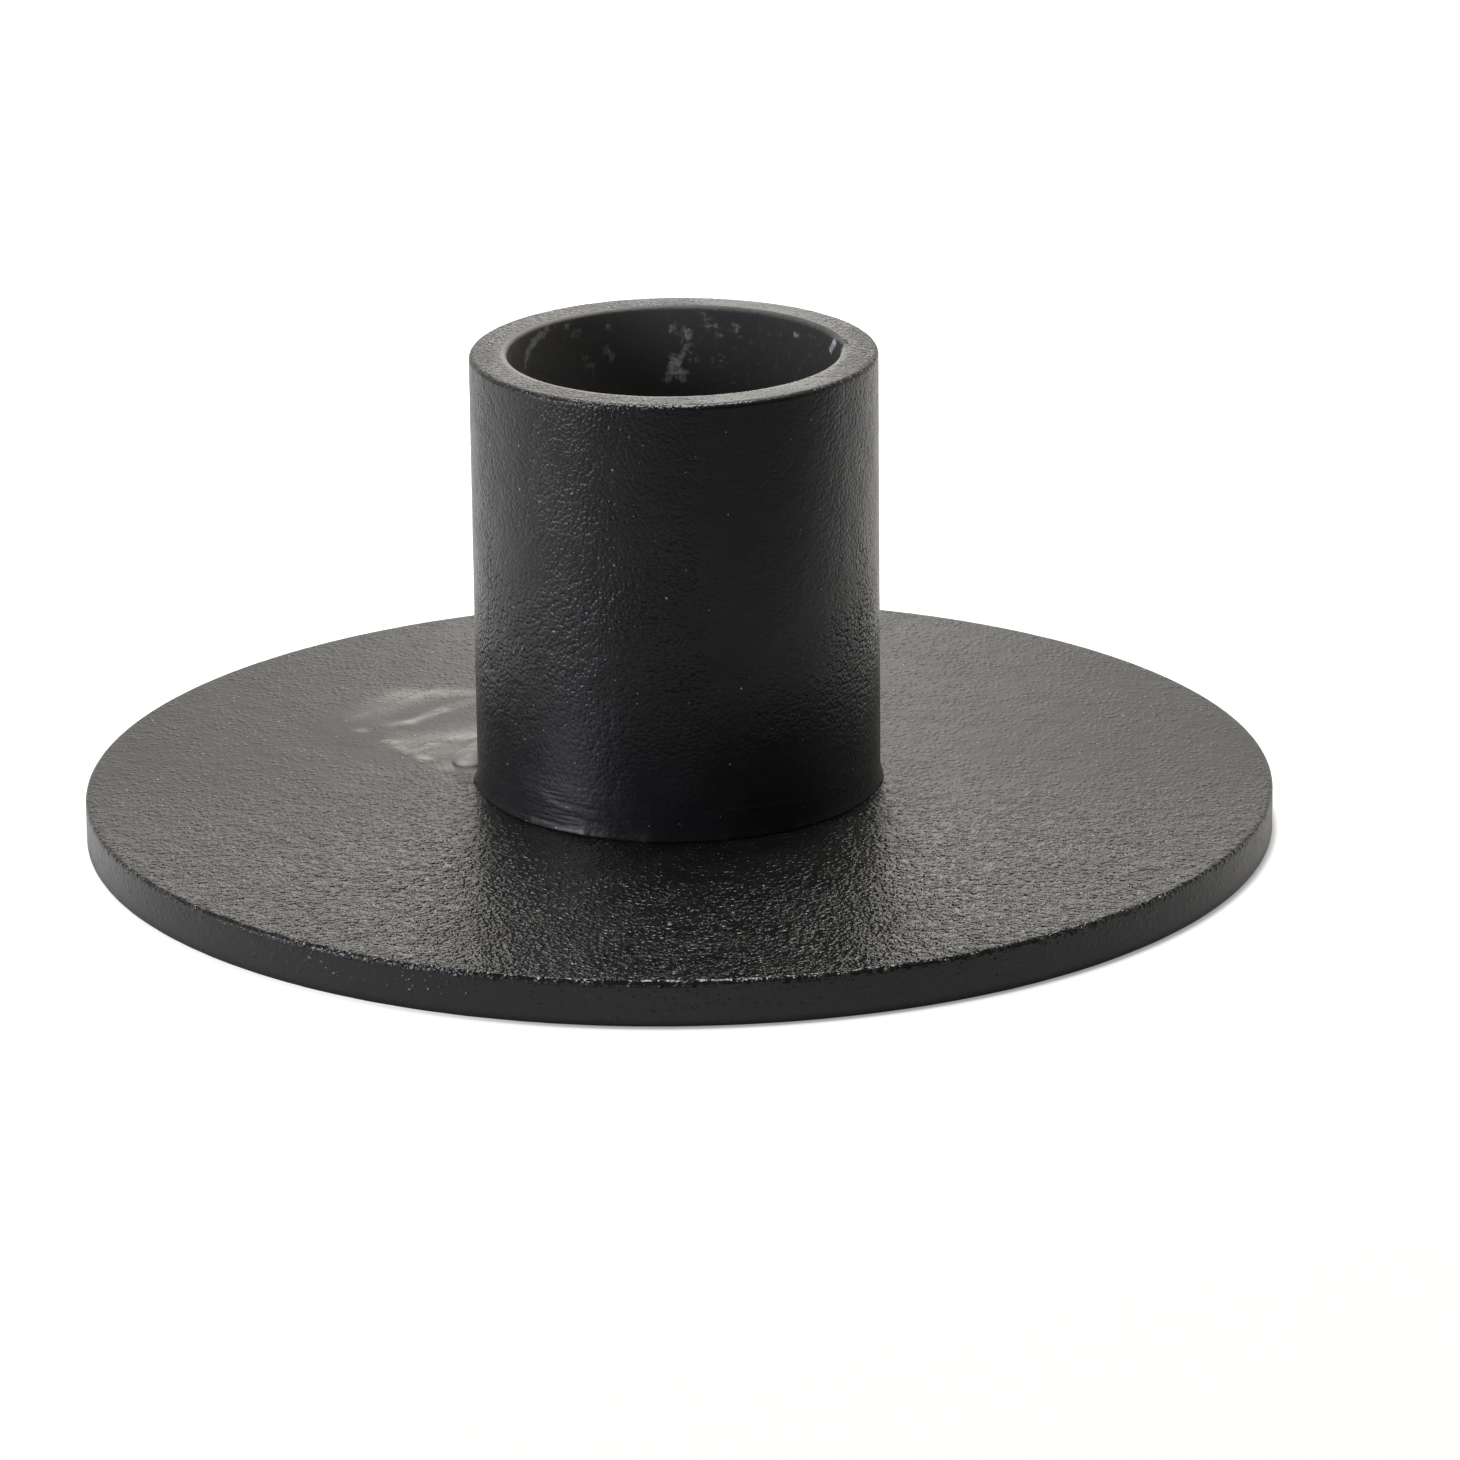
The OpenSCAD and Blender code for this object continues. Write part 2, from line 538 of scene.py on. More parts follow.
@dataclass(frozen=True)
class PlateCoat(Coat):
    """The plate's coat, with the splash of the weld and the plainer lower half of the cut edge."""

    ground: Colour = (0.010, 0.010, 0.010)
    pale: Colour = (0.016, 0.016, 0.016)
    roughness: float = 0.18
    roughness_swing: float = 0.03
    calm_roughness: float = 0.21
    grain_size: float = 0.42 * MM
    grain_height: float = 0.30 * MM
    grit_size: float = 0.26 * MM
    grit_height: float = 0.10 * MM
    sand_size: float = 0.20 * MM
    sand_height: float = 0.04 * MM
    sand_detail: float = 0.0
    sand_stretch: tuple[float, float, float] | None = (1.0, 1.3, 1.0)
    peel_size: float = 1.3 * MM
    peel_height: float = 0.20 * MM
    film: Colour = (0.30, 0.286, 0.262)
    film_roughness: float = 0.27
    streak_turn: float = -49
    streak_size: float = 1.3 * MM
    streak_stretch: tuple[float, float, float] = (4.0, 1.0, 1.0)
    streak_limits: tuple[float, float] = (0.3, 0.62)
    # How much of the film is left between its streaks
    streak_least: float = 0.35
    face: Colour = (0.020, 0.0205, 0.023)
    # Where the cut edge's grey sets in
    face_limits: tuple[float, float] = (41.1 * MM, 41.2 * MM)
    # The border across the cut edge: its height, how far and how closely it wavers, and how soft it is
    border: float = 1.25 * MM
    border_waver: float = 0.35 * MM
    waver_size: float = 2.2 * MM
    border_softness: float = 0.08 * MM
    # Where the grains pass from lively to calm or back: out to the rim, up to the top, towards the back, out
    # from the tube and out from the middle of the splash
    rim_limits: tuple[float, float] = (40.85 * MM, 41.15 * MM)
    top_limits: tuple[float, float] = (2.7 * MM, 2.9 * MM)
    back_limits: tuple[float, float] = (-28 * MM, 6 * MM)
    near_limits: tuple[float, float] = (17 * MM, 27 * MM)
    melt_limits: tuple[float, float] = (5.5 * MM, 19.8 * MM)
    melt_middle: tuple[float, float] = (-19 * MM, 11 * MM)
    # How calm the grains get: 0 leaves them as they are and 1 leaves none
    splash_calm: float = 1.1
    lower_edge_calm: float = 0.93
    rim_calm: float = 0.45
    face_calm: float = 0.85
    back_calm: float = 0.82
    melt_calm: float = 0.94
    near_calm: float = 0.6

    def relief(self, paint: Paint) -> Socket:
        """Strew steep grains, calmer under the splash, on the edge and where the top is calm.

        Args:
            paint: The material's tree.

        Returns:
            The height in metres.
        """
        large = self.grains(paint, self.grain_size, self.grain_height)
        small = self.grains(paint, self.grit_size, self.grit_height)
        height = self.sanded(paint, paint.times(paint.math("ADD", large, small), self.strength(paint)))
        calm = paint.most(
            paint.math("MULTIPLY", paint.mark("splash"), self.splash_calm, clamp=True),
            paint.times(self.lower_edge(paint), self.lower_edge_calm),
            paint.ramp(Way.OUT, *self.rim_limits, 0.0, self.rim_calm),
            paint.ramp(Way.UP, *self.top_limits, self.face_calm, 0.0),
            self.calm(paint),
        )
        return paint.times(height, paint.math("SUBTRACT", 1.0, calm))

    def calm(self, paint: Paint) -> Socket:
        """Say how calm the top's grains are: calmer towards the back, round the tube and round the splash.

        Args:
            paint: The material's tree.

        Returns:
            The share of their height that the grains lose.
        """
        off = paint.radius(paint.vector("SUBTRACT", paint.where, (*self.melt_middle, 0.0)))
        return paint.most(
            paint.ramp(Way.BACK, *self.back_limits, 0.0, self.back_calm),
            paint.spread(off, *self.melt_limits, self.melt_calm, 0.0),
            paint.ramp(Way.OUT, *self.near_limits, self.near_calm, 0.0),
        )

    def lower_edge(self, paint: Paint) -> Socket:
        """Return a mask of the cut edge's lower part, with a wavering upper border.

        Args:
            paint: The material's tree.

        Returns:
            The mask.
        """
        wave = paint.noise(paint.where, self.waver_size, 2.0)
        border = paint.between(wave, self.border - self.border_waver, self.border + self.border_waver)
        lift = paint.math("SUBTRACT", paint.part(paint.where, Way.UP), border)
        return paint.spread(lift, -self.border_softness, self.border_softness, 1.0, 0.0)

    def colour(self, paint: Paint) -> Socket:
        """Grey the cut edge a little and lay the splash's brownish film on the coat, in soft streaks.

        Args:
            paint: The material's tree.

        Returns:
            The base colour.
        """
        inputs = {"Vector": paint.where, "Rotation": (0, 0, math.radians(self.streak_turn))}
        along = paint.node("ShaderNodeMapping", inputs, vector_type="POINT").outputs[0]
        streaks = paint.noise(along, self.streak_size, 2.0, self.streak_stretch)
        streaks = paint.spread(streaks, *self.streak_limits, self.streak_least, 1.0)
        share = paint.times(paint.mark("splash"), streaks)
        edge = paint.ramp(Way.OUT, *self.face_limits)
        return paint.mix(share, paint.mix(edge, super().colour(paint), self.face), self.film)

    def gloss(self, paint: Paint) -> Socket:
        """Make the coat rougher where its grains are calm, and give the splash a roughness of its own."""
        rough = paint.math("MULTIPLY_ADD", self.calm(paint), self.calm_roughness, super().gloss(paint))
        return paint.mix(paint.mark("splash"), rough, self.film_roughness, Mixed.NUMBER)


@dataclass(frozen=True)
class TubeCoat(Coat):
    """The coat of the tube and its weld, thin and patchy inside the bore."""

    ground: Colour = (0.014, 0.0133, 0.0165)
    pale: Colour = (0.019, 0.018, 0.022)
    dome_height: float = 0.036 * MM
    sand_size: float = 0.16 * MM
    sand_height: float = 0.012 * MM
    peel_height: float = 0.05 * MM
    # How much of the relief the front, its plain strip, the bore and the foot have, and what the flanks add
    front_share: float = 1.2
    plain_share: float = 0.4
    bore_share: float = 0.3
    foot_share: float = 0.3
    flank_gain: float = 1.1
    # Where the plain strip begins and ends across the front, where the flanks begin and where the foot ends
    plain_begins: tuple[float, float] = (0.0, 3.5 * MM)
    plain_ends: tuple[float, float] = (9 * MM, 11.5 * MM)
    flank_limits: tuple[float, float] = (11.8 * MM, 12.8 * MM)
    foot_limits: tuple[float, float] = (3.2 * MM, 16.2 * MM)
    # The folds at the foot: where they begin and fade across its front, what is left right of that, and
    # where they end upwards
    fold_size: float = 0.45 * MM
    fold_height: float = 0.10 * MM
    fold_stretch: tuple[float, float, float] = (7.0, 7.0, 1.0)
    fold_begins: tuple[float, float] = (-11.5 * MM, -9.5 * MM)
    fold_fades: tuple[float, float] = (-6.5 * MM, -4 * MM)
    fold_least: float = 0.15
    fold_ends: tuple[float, float] = (5.6 * MM, 7.4 * MM)
    rim_grain_size: float = 0.22 * MM
    rim_grain_height: float = 0.06 * MM
    rim_limits: tuple[float, float] = (33.6 * MM, 33.75 * MM)
    # The roughness of the bore's wall, its share at the foot and where that ends
    dull: float = 0.8
    foot_dull: float = 0.2
    dull_limits: tuple[float, float] = (4.2 * MM, 11.2 * MM)
    # The bore's wall: the radii between which it ends, its colour at the left and at the right, which is
    # darker as painted shade, and where the one passes into the other
    bore_limits: tuple[float, float] = (11.75 * MM, 11.9 * MM)
    bore: Colour = (0.25, 0.246, 0.25)
    bore_right_painted_shade: Colour = (0.05, 0.05, 0.05)
    bore_shade_lean: tuple[float, float] = (-8 * MM, 6 * MM)
    # The patches: how their outlines fray, how strong their middles and outskirts are, and their flecks
    patch: Colour = (0.95, 0.95, 0.95)
    fray_size: float = 0.4 * MM
    fray: float = 1.2
    fray_limits: tuple[float, float] = (0.15, 0.7)
    patch_strengths: tuple[float, float, float, float] = (0.05, 0.8, 0.08, 0.9)
    fleck_size: float = 0.3 * MM
    fleck_strengths: tuple[float, float, float, float] = (0.35, 0.6, 0.35, 1.0)
    # The rim's inner edge, paler with wear and with a painted highlight that is strongest at the front:
    # where it ends outwards, begins upwards and fades backwards, what is left there, and its flecks
    wear_and_highlight: Colour = (0.38, 0.38, 0.365)
    wear_limits: tuple[float, float] = (11.7 * MM, 12 * MM)
    wear_begins: tuple[float, float] = (33.65 * MM, 33.75 * MM)
    highlight_fades: tuple[float, float] = (-2 * MM, 4 * MM)
    wear_least: float = 0.1
    wear_size: float = 0.25 * MM
    wear_flecks: tuple[float, float] = (0.3, 0.5)

    def relief(self, paint: Paint) -> Socket:
        """Vary the coat round the tube, and add grains on the rim and folds at the foot.

        It is plain right of the front, strong on the flanks and calm at the foot and in the bore.

        Args:
            paint: The material's tree.

        Returns:
            The height in metres.
        """
        grains = self.grains(paint, self.rim_grain_size, self.rim_grain_height)
        rim = paint.ramp(Way.UP, *self.rim_limits)
        whole = paint.math("MULTIPLY_ADD", grains, rim, super().relief(paint))
        begins = paint.ramp(Way.ACROSS, *self.plain_begins)
        plain = paint.times(begins, paint.ramp(Way.ACROSS, *self.plain_ends, 1.0, 0.0))
        aside = paint.math("ABSOLUTE", paint.part(paint.where, Way.ACROSS))
        flank = paint.spread(aside, *self.flank_limits, 0.0, self.flank_gain)
        share = paint.times(
            paint.math("ADD", paint.between(plain, self.front_share, self.plain_share), flank),
            paint.between(self.inside(paint), 1.0, self.bore_share),
            paint.ramp(Way.UP, *self.foot_limits, self.foot_share, 1.0),
        )
        return paint.math("ADD", paint.times(whole, share), self.folds(paint))

    def folds(self, paint: Paint) -> Socket:
        """Lay level folds of the coat round the foot, most of them left of its front.

        Args:
            paint: The material's tree.

        Returns:
            The height in metres.
        """
        return paint.times(
            paint.noise(paint.where, self.fold_size, 1.0, self.fold_stretch),
            paint.ramp(Way.ACROSS, *self.fold_begins),
            paint.ramp(Way.ACROSS, *self.fold_fades, 1.0, self.fold_least),
            paint.ramp(Way.UP, *self.fold_ends, 1.0, 0.0),
            self.fold_height,
        )

    def gloss(self, paint: Paint) -> Socket:
        """Make the bore's wall dull and the foot a little duller."""
        foot = paint.ramp(Way.UP, *self.dull_limits, self.foot_dull, 0.0)
        return paint.mix(paint.most(foot, self.inside(paint)), super().gloss(paint), self.dull, Mixed.NUMBER)

    def colour(self, paint: Paint) -> Socket:
        """Give the bore a greyer ground with pale patches and painted shade on its right, and wear the rim's
        inner edge, where the wear is also a painted highlight.

        Args:
            paint: The material's tree.

        Returns:
            The base colour.
        """
        marks = paint.mark("patches")
        fray = paint.between(paint.noise(paint.where, self.fray_size, 3.0), -self.fray, self.fray)
        share = paint.times(
            paint.spread(paint.math("ADD", marks, fray), *self.fray_limits),
            paint.spread(marks, *self.patch_strengths),
            paint.spread(paint.noise(paint.where, self.fleck_size, 2.0), *self.fleck_strengths),
        )
        # The bore's ground darkens towards the right: painted shade
        ground = paint.mix(paint.ramp(Way.ACROSS, *self.bore_shade_lean), self.bore, self.bore_right_painted_shade)
        whole = paint.mix(self.inside(paint), super().colour(paint), paint.mix(share, ground, self.patch))
        # Paler flecks on the rim's inner edge, strongest at the front: wear and a painted highlight
        wear = paint.times(
            paint.ramp(Way.OUT, *self.wear_limits, 1.0, 0.0),
            paint.ramp(Way.UP, *self.wear_begins),
            paint.spread(paint.noise(paint.where, self.wear_size, 2.0), *self.wear_flecks),
            paint.ramp(Way.BACK, *self.highlight_fades, 1.0, self.wear_least),
        )
        return paint.mix(wear, whole, self.wear_and_highlight)

    def inside(self, paint: Paint) -> Socket:
        """Return a mask of the bore's wall."""
        return paint.ramp(Way.OUT, *self.bore_limits, 1.0, 0.0)


@dataclass(frozen=True)
class BeadCoat(Coat):
    """The thin, smooth and paler coat on the lump and the drops of the weld."""

    # The lump's pale colour, shown where it is marked bare, is a painted highlight
    ground: Colour = (0.80, 0.77, 0.72)
    pale: Colour = (0.95, 0.92, 0.87)
    roughness: float = 0.5
    dome_height: float = 0.012 * MM
    sand_height: float = 0.004 * MM
    peel_height: float = 0.04 * MM
    speck_share: float = 0.0


@dataclass(frozen=True)
class DropCoat(BeadCoat):
    """The drops' coat, darker and glossier than the lump's."""

    ground: Colour = (0.18, 0.172, 0.155)
    pale: Colour = (0.26, 0.25, 0.225)
    roughness: float = 0.35


@dataclass(frozen=True)
class StopCoat(BeadCoat):
    """The lump's coat: a pale painted highlight where it faces the front or right, filmed over on top."""

    film: Colour = (0.26, 0.25, 0.232)

    def colour(self, paint: Paint) -> Socket:
        """Lay the film over all that isn't marked bare, which keeps the painted highlight."""
        return paint.mix(paint.mark("bare"), self.film, super().colour(paint))


class Profile:
    """The outline of a turned piece in (radius, height), drawn so that its outside lies to the right."""

    # How close to a crisp corner its extra points lie
    TIGHT = 0.02 * MM

    def __init__(self, radius: float, height: float) -> None:
        """Start the outline at a point.

        Args:
            radius: The first point's distance from the axis.
            height: The first point's height.
        """
        self.points: list[tuple[float, float]] = [(radius, height)]

    def line(self, radius: float, height: float, step: float, tight: bool = False) -> None:
        """Go straight to a point.

        Args:
            radius: The point's distance from the axis.
            height: The point's height.
            step: The longest stretch between two points.
            tight: Whether both ends get a point very close by, which keeps the corners there crisp.
        """
        r0, z0 = self.points[-1]
        length = math.hypot(radius - r0, height - z0)
        count = max(1, math.ceil(length / step))
        shares = [i / count for i in range(1, count + 1)]
        if tight:
            near = self.TIGHT / length
            shares = sorted([*shares, near, 1 - near])
        self.points += [(r0 + (radius - r0) * share, z0 + (height - z0) * share) for share in shares]

    def turn(self, centre_r: float, centre_z: float, sweep: float, steps: int) -> None:
        """Go round a centre.

        Args:
            centre_r: The centre's distance from the axis.
            centre_z: The centre's height.
            sweep: The angle to go, in degrees, anticlockwise.
            steps: The number of points.
        """
        r0, z0 = self.points[-1]
        radius = math.hypot(r0 - centre_r, z0 - centre_z)
        start = math.atan2(z0 - centre_z, r0 - centre_r)
        for i in range(1, steps + 1):
            angle = start + math.radians(sweep) * i / steps
            self.points.append((centre_r + radius * math.cos(angle), centre_z + radius * math.sin(angle)))


def turned(name: str, outline: Sequence[tuple[float, float]], turns: int) -> bpy.types.Object:
    """Turn an outline round the Z axis into a closed, smooth piece.

    An outline that starts and ends on the axis is closed with two fans. Any other one is taken as a ring.

    Args:
        name: The piece's name.
        outline: The (radius, height) points, with the outside to the right.
        turns: The number of steps round the axis.

    Returns:
        The piece.
    """
    capped = outline[0][0] == 0.0
    radii, heights = np.array(outline[1:-1] if capped else outline).T
    angles = np.arange(turns) * FULL_TURN / turns
    levels = np.repeat(heights[:, None], turns, 1)
    points = np.stack([np.outer(radii, np.cos(angles)), np.outer(radii, np.sin(angles)), levels], -1)
    vertices = points.reshape(-1, 3).tolist()
    count = len(radii)
    row, near = np.meshgrid(np.arange(count - 1 if capped else count), np.arange(turns), indexing="ij")
    low, high, far = row * turns, (row + 1) % count * turns, (near + 1) % turns
    faces = np.stack([low + near, low + far, high + far, high + near], -1).reshape(-1, 4).tolist()
    if capped:
        first, last, top = len(vertices), len(vertices) + 1, (count - 1) * turns
        vertices += [(0.0, 0.0, outline[0][1]), (0.0, 0.0, outline[-1][1])]
        faces += [[first, (k + 1) % turns, k] for k in range(turns)]
        faces += [[last, top + k, top + (k + 1) % turns] for k in range(turns)]
    mesh = bpy.data.meshes.new(name)
    mesh.from_pydata(vertices, [], faces)
    mesh.update()
    mesh.shade_smooth()
    return placed(name, mesh)


def placed(name: str, mesh: bpy.types.Mesh) -> bpy.types.Object:
    """Put a mesh in the scene as an object at the origin.

    Args:
        name: The object's name.
        mesh: Its mesh.

    Returns:
        The object.
    """
    made = bpy.data.objects.new(name, mesh)
    bpy.context.scene.collection.objects.link(made)
    return made


def keep_result(piece: bpy.types.Object) -> None:
    """Make the result of a piece's modifiers its plain mesh.

    Args:
        piece: The piece.
    """
    ready = piece.evaluated_get(bpy.context.evaluated_depsgraph_get())
    piece.data = bpy.data.meshes.new_from_object(ready)
    piece.modifiers.clear()


def finished(piece: bpy.types.Object, node: str) -> bpy.types.Object:
    """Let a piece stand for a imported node.

    Args:
        piece: The piece.
        node: The node that it stands for.

    Returns:
        The piece.
    """
    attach(piece, BODY)
    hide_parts(node)
    log.info("%s: %d faces, stands for %s", piece.name, len(piece.data.polygons), node)
    return piece


def coordinates(mesh: bpy.types.Mesh) -> np.ndarray:
    """Return the places of a mesh's vertices, one row each.

    Args:
        mesh: The mesh.

    Returns:
        The places.
    """
    places = np.empty(len(mesh.vertices) * 3)
    mesh.vertices.foreach_get("co", places)
    return places.reshape(-1, 3)


def keep_mask(mesh: bpy.types.Mesh, name: str, mask: Sequence[float] | np.ndarray) -> None:
    """Keep a number for every vertex on the mesh, under a name."""
    mesh.attributes.new(name, "FLOAT", "POINT").data.foreach_set("value", mask)


@dataclass(frozen=True)
class Streak:
    """One soft pale streak: its two ends and its half width, in millimetres, and its strength."""

    x0: float
    y0: float
    x1: float
    y1: float
    width: float
    strength: float

    def mask(self, x: np.ndarray, y: np.ndarray) -> np.ndarray:
        """Return the streak's strength at points of the surface.

        Args:
            x: The points' X, in millimetres.
            y: Their Y.

        Returns:
            The strengths.
        """
        dx, dy = self.x1 - self.x0, self.y1 - self.y0
        along = np.clip(((x - self.x0) * dx + (y - self.y0) * dy) / max(dx * dx + dy * dy, 1e-6), 0, 1)
        off = np.hypot(x - self.x0 - along * dx, y - self.y0 - along * dy)
        return self.strength * np.exp(-((off / self.width) ** 2))


# The splash on the plate's top, in the plate's X and Y
SPLASH = (
    Streak(-22.5, 14.6, -19.5, 18.9, 1.6, 0.38),
    Streak(-20.0, 18.6, -17.5, 19.2, 1.0, 0.42),
    Streak(-16.9, 19.4, -15.5, 19.4, 0.8, 0.62),
    Streak(-20.7, 12.2, -19.3, 12.6, 0.55, 0.42),
    Streak(-19.3, 12.6, -17.0, 15.4, 0.42, 0.66),
    Streak(-17.0, 15.4, -15.1, 17.4, 0.6, 0.36),
    Streak(-19.0, 8.6, -14.6, 10.0, 1.8, 0.42),
    Streak(-18.5, 6.3, -17.1, 7.5, 0.34, 0.75),
    Streak(-20.3, 8.2, -20.3, 8.2, 0.42, 0.85),
    Streak(-19.9, 7.1, -17.9, 4.4, 0.40, 0.45),
    Streak(-18.9, 6.0, -18.9, 6.0, 0.38, 0.85),
    Streak(-17.9, 4.4, -17.9, 4.4, 0.42, 0.45),
    Streak(-15.9, 8.7, -14.6, 9.3, 0.55, 0.75),
    Streak(-22.8, 10.9, -22.5, 10.9, 0.42, 0.5),
    Streak(-17.5, 5.5, -16.0, 6.5, 1.2, 0.3),
    Streak(-16.2, 2.6, -14.2, 1.7, 0.9, 0.6),
)

# Patches on the bore's wall, along its round from +X and up from the plate
BORE_PATCHES = (
    Streak(27.9, 30.3, 29.6, 29.7, 0.35, 0.90),
    Streak(30.1, 29.4, 30.4, 28.9, 0.50, 0.70),
    Streak(30.7, 28.4, 30.7, 28.0, 0.30, 0.35),
    Streak(25.97, 30.2, 25.97, 30.2, 0.28, 1.0),
    Streak(25.45, 29.4, 24.9, 29.5, 0.25, 0.75),
    Streak(27.1, 30.3, 27.1, 30.3, 0.22, 0.5),
    Streak(22.6, 29.9, 22.7, 29.5, 0.28, 0.65),
    Streak(22.8, 28.0, 22.4, 27.4, 0.35, 0.70),
    Streak(24.4, 27.5, 24.0, 27.0, 0.50, 0.50),
    Streak(24.0, 26.1, 24.0, 25.7, 0.45, 0.35),
    Streak(18.1, 29.2, 18.1, 29.0, 0.35, 0.50),
    Streak(17.1, 28.9, 17.0, 28.6, 0.50, 0.60),
    Streak(17.1, 27.8, 17.3, 27.4, 0.35, 0.45),
    Streak(18.0, 26.7, 17.8, 26.2, 0.60, 0.90),
    Streak(18.7, 25.5, 18.5, 25.7, 0.45, 0.60),
    Streak(17.2, 25.7, 17.2, 25.5, 0.40, 0.55),
    Streak(16.6, 27.3, 16.6, 27.0, 0.40, 0.40),
    Streak(15.0, 27.0, 14.6, 27.0, 0.50, 0.40),
    Streak(15.5, 29.5, 14.8, 29.0, 0.60, 0.40),
    Streak(16.0, 30.4, 16.0, 30.3, 0.30, 0.35),
    Streak(13.4, 29.5, 13.4, 29.2, 0.50, 0.28),
    Streak(12.6, 28.3, 12.6, 28.3, 0.40, 0.25),
    Streak(8.5, 29.7, 8.3, 29.6, 0.25, 0.60),
    Streak(3.9, 29.6, 3.0, 30.4, 0.28, 0.90),
    Streak(-8.0, 27.5, -9.5, 28.5, 0.60, 0.50),
    Streak(-15.0, 29.0, -15.6, 27.6, 0.50, 0.60),
    Streak(-21.0, 26.0, -20.0, 24.5, 0.70, 0.45),
    Streak(-27.0, 28.8, -26.0, 29.4, 0.45, 0.55),
)


@dataclass
class BasePlate:
    """The round steel plate with its softened edges."""

    radius: float
    thickness: float
    top_round: float = 0.3 * MM
    low_round: float = 0.25 * MM
    round_steps: int = 4
    # The top's rings: the radius that each band of them goes in to, and their spacing
    rings: tuple[tuple[float, float], ...] = (
        (36 * MM, 0.4 * MM),
        (28 * MM, 0.5 * MM),
        (13 * MM, 0.3 * MM),
        (0.0, 2 * MM),
    )
    splash_height: float = 0.06 * MM
    grain_height: float = 0.012 * MM
    turns: int = 800
    coat: Coat = field(default_factory=lambda: PlateCoat("plate coat"))

    def build(self) -> bpy.types.Object:
        """Turn the plate and dress it.

        Returns:
            The plate's object.
        """
        outline = Profile(0.0, 0.0)
        outline.line(self.radius - self.low_round, 0.0, step=4 * MM)
        outline.turn(self.radius - self.low_round, self.low_round, 90, self.round_steps)
        outline.line(self.radius, self.thickness - self.top_round, step=0.33 * MM)
        outline.turn(self.radius - self.top_round, self.thickness - self.top_round, 90, self.round_steps)
        for inner, spacing in self.rings:
            outline.line(inner, self.thickness, spacing)
        piece = turned("plate", outline.points, self.turns)
        self.splash(piece.data)
        CoatRelief().shape(piece, {"Material": self.coat.material(), "Grain Height": self.grain_height})
        return finished(piece, "base_plate")

    def splash(self, mesh: bpy.types.Mesh) -> None:
        """Raise the splash's film a little and keep its mask on the mesh.

        Args:
            mesh: The plate's mesh.
        """
        places = coordinates(mesh)
        x, y = places[:, 0] / MM, places[:, 1] / MM
        mask = sum(streak.mask(x, y) for streak in SPLASH)
        mask = np.clip(mask, 0, 1) * (places[:, 2] > self.thickness - 0.01 * MM)
        places[:, 2] += mask * self.splash_height
        mesh.vertices.foreach_set("co", places.ravel())
        keep_mask(mesh, "splash", mask)


@dataclass
class SocketTube:
    """The upright tube that holds the candle."""

    outer: float
    bore: float
    foot: float
    rim: float
    weld_depth: float = 1.3 * MM
    weld_height: float = 2.2 * MM
    outer_round: float = 0.4 * MM
    inner_round: float = 0.3 * MM
    round_steps: int = 6
    # How far down the bore's wall has fine rings
    fine_depth: float = 8 * MM
    # How far out from the bore the outer wall counts as begun, and the patches as ended
    bore_margin: float = 0.1 * MM
    patch_margin: float = 0.2 * MM
    patch_foot: float = 0.1 * MM
    # The nick in the rim's inner edge: its direction and half width in degrees, its depth, how far down it
    # reaches and fades, and how far out past the rounding
    nick_turn: float = 8
    nick_width: float = 5
    nick_depth: float = 0.3 * MM
    nick_reach: float = 1.6 * MM
    nick_fade: float = 1.2 * MM
    nick_margin: float = 0.05 * MM
    turns: int = 440
    coat: Coat = field(default_factory=lambda: TubeCoat("tube coat"))

    def build(self) -> bpy.types.Object:
        """Turn the tube and dress it.

        Returns:
            The tube's object.
        """
        root = self.outer - self.weld_depth
        outer_middle, inner_middle = self.outer - self.outer_round, self.bore + self.inner_round
        outline = Profile(root, self.foot)
        outline.line(self.outer, self.foot + self.weld_height, step=0.5 * MM, tight=True)
        outline.line(self.outer, self.rim - self.outer_round, step=0.3 * MM, tight=True)
        outline.turn(outer_middle, self.rim - self.outer_round, 90, self.round_steps)
        outline.line(inner_middle, self.rim, step=0.2 * MM)
        outline.turn(inner_middle, self.rim - self.inner_round, 90, self.round_steps)
        outline.line(self.bore, self.rim - self.fine_depth, step=0.3 * MM)
        outline.line(self.bore, self.foot, step=0.8 * MM, tight=True)
        outline.line(root, self.foot, step=0.5 * MM, tight=True)
        piece = turned("tube", outline.points[:-1], self.turns)
        self.mark(piece.data)
        wall = {"Wall Radius": self.bore + self.bore_margin, "Wall Top": self.rim - self.outer_round}
        CoatRelief().shape(piece, {"Material": self.coat.material(), **wall})
        return finished(piece, "socket_tube")

    def mark(self, mesh: bpy.types.Mesh) -> None:
        """Keep the bore's patches on the mesh and nick the rim's inner edge.

        Args:
            mesh: The tube's mesh.
        """
        places = coordinates(mesh)
        reach = np.hypot(places[:, 0], places[:, 1])
        turn = np.arctan2(places[:, 1], places[:, 0])
        height = places[:, 2] - self.foot
        mask = sum(streak.mask(turn * self.bore / MM, height / MM) for streak in BORE_PATCHES)
        inside = (reach < self.bore + self.patch_margin) & (height > self.patch_foot)
        lift = places[:, 2] - self.rim + self.nick_reach
        near_edge = (reach < self.bore + self.inner_round + self.nick_margin) & (lift > 0)
        depth = self.nick_depth * np.exp(-(((np.degrees(turn) - self.nick_turn) / self.nick_width) ** 2))
        depth *= near_edge * np.clip(lift / self.nick_fade, 0, 1)
        places[:, :2] *= (1 + depth / np.maximum(reach, MM))[:, None]
        mesh.vertices.foreach_set("co", places.ravel())
        keep_mask(mesh, "patches", np.clip(mask, 0, 1) * inside)


